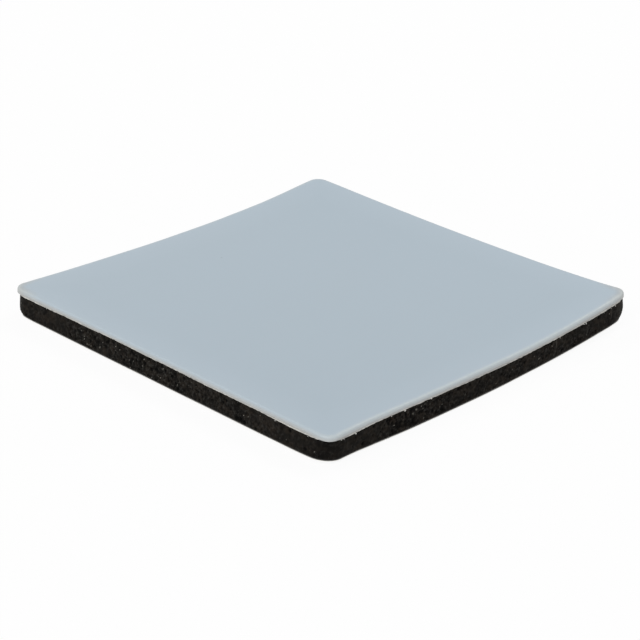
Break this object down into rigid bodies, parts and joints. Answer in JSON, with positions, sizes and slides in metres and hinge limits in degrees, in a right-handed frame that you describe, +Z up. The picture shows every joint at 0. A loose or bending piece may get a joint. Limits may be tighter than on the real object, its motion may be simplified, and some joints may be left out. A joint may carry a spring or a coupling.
{
  "type": "furniture slider",
  "caption": "Square self-adhesive furniture slider: a hard low-friction face on a foam rubber base, with mounting tape and a peel-off release liner underneath.",
  "frame": {"origin": "middle of the underside, where the pad lies on the table", "axes": "+Z up through the slip face, +X across the curl towards the strongly curled edge, +Y along the straight edges"},
  "size_m": [0.08, 0.08, 0.0066],
  "materials": {
    "slip_plastic": "satin",
    "laminating_adhesive": "satin",
    "foam_rubber": "matte",
    "tape_adhesive": "gloss",
    "tape_film": "gloss",
    "liner_paper": "satin"
  },
  "bodies": {
    "pad": {"slip_sheet": "slip_plastic", "bond_film": "laminating_adhesive", "foam_base": "foam_rubber", "tape_upper_coat": "tape_adhesive", "tape_carrier": "tape_film", "tape_lower_coat": "tape_adhesive"},
    "liner": {"release_liner": "liner_paper"}
  },
  "joints": [
    {"name": "liner_peel", "type": "slide", "parent": "pad", "child": "liner", "axis": [0, -1, 0], "range_m": [0, 0.09]}
  ]
}
